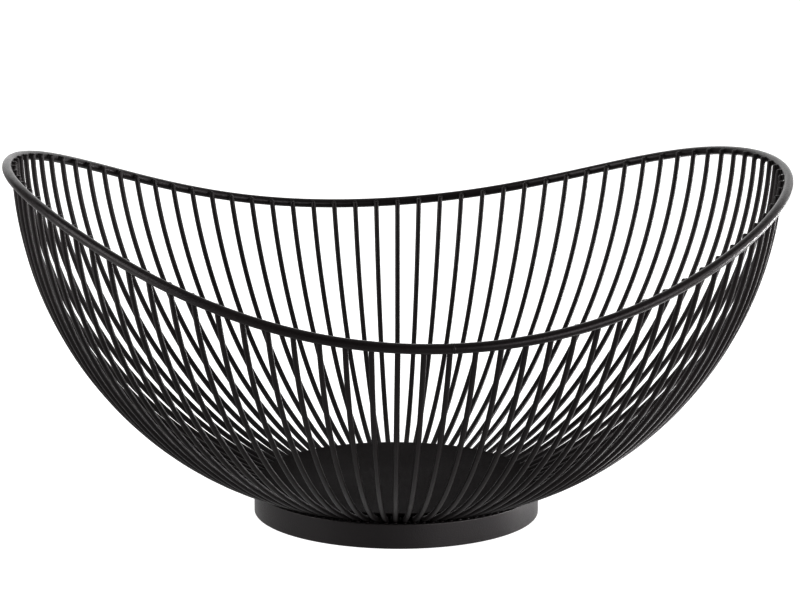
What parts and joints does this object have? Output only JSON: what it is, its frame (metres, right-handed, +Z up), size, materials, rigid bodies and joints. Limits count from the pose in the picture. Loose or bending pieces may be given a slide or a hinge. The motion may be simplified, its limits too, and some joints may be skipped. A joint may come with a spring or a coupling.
{
  "type": "wire fruit bowl",
  "caption": "Round bowl of evenly spaced bent wire ribs under a saddle-shaped rim wire, with a sheet base plate, standing on a round foot ring to hold fruit.",
  "frame": {"origin": "middle of the foot ring's lower edge, on the surface that the bowl stands on", "axes": "+X towards one high end of the rim, +Y towards a low side, +Z up along the bowl's axis"},
  "size_m": [0.2995, 0.2852, 0.139],
  "materials": {
    "foot_black": "satin powder coat",
    "plate_black": "satin powder coat",
    "rim_black": "satin powder coat",
    "rib_black": "satin powder coat"
  },
  "bodies": {
    "root": {"foot_ring": "foot_black", "base_plate": "plate_black", "rim_wire": "rim_black", "rib_pair_01": "rib_black", "rib_pair_02": "rib_black", "rib_pair_03": "rib_black", "rib_pair_04": "rib_black", "rib_pair_05": "rib_black", "rib_pair_06": "rib_black", "rib_pair_07": "rib_black", "rib_pair_08": "rib_black", "rib_pair_09": "rib_black", "rib_pair_10": "rib_black", "rib_pair_11": "rib_black", "rib_pair_12": "rib_black", "rib_pair_13": "rib_black", "rib_pair_14": "rib_black", "rib_pair_15": "rib_black", "rib_pair_16": "rib_black", "rib_pair_17": "rib_black", "rib_pair_18": "rib_black", "rib_pair_19": "rib_black", "rib_pair_20": "rib_black", "rib_pair_21": "rib_black", "rib_pair_22": "rib_black", "rib_pair_23": "rib_black", "rib_pair_24": "rib_black", "rib_pair_25": "rib_black", "rib_pair_26": "rib_black", "rib_pair_27": "rib_black", "rib_pair_28": "rib_black", "rib_pair_29": "rib_black", "rib_pair_30": "rib_black", "rib_pair_31": "rib_black", "rib_pair_32": "rib_black", "rib_pair_33": "rib_black", "rib_pair_34": "rib_black", "rib_pair_35": "rib_black", "rib_pair_36": "rib_black", "rib_pair_37": "rib_black", "rib_pair_38": "rib_black", "rib_pair_39": "rib_black", "rib_pair_40": "rib_black", "rib_pair_41": "rib_black", "rib_pair_42": "rib_black", "rib_pair_43": "rib_black", "rib_pair_44": "rib_black", "rib_pair_45": "rib_black", "rib_pair_46": "rib_black", "rib_pair_47": "rib_black", "rib_pair_48": "rib_black"}
  },
  "joints": []
}
